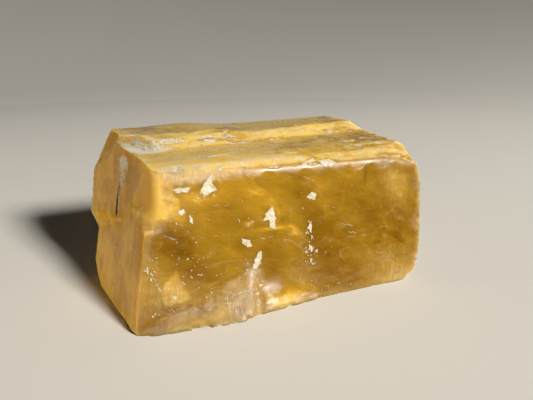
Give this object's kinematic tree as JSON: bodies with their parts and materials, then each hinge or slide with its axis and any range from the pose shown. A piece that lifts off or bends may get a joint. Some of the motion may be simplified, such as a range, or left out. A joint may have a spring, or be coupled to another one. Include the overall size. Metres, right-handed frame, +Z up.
{
  "type": "calcite specimen",
  "caption": "Cleavage block of honey-coloured calcite: a leaning six-sided crystal with a stepped top, chipped edges and a splintered lower lip, resting on its flat base.",
  "frame": {"origin": "centre of the bounding box, at the level of the flat base the block rests on", "axes": "+X along the long lower edge, -Y out of the broad front face, +Z up from the base"},
  "size_m": [0.0836, 0.0454, 0.0389],
  "materials": {
    "honey_calcite": "glossy, cloudy, translucent amber crystal with white bruised edges"
  },
  "bodies": {
    "root": {"calcite_crystal": "honey_calcite"}
  },
  "joints": []
}
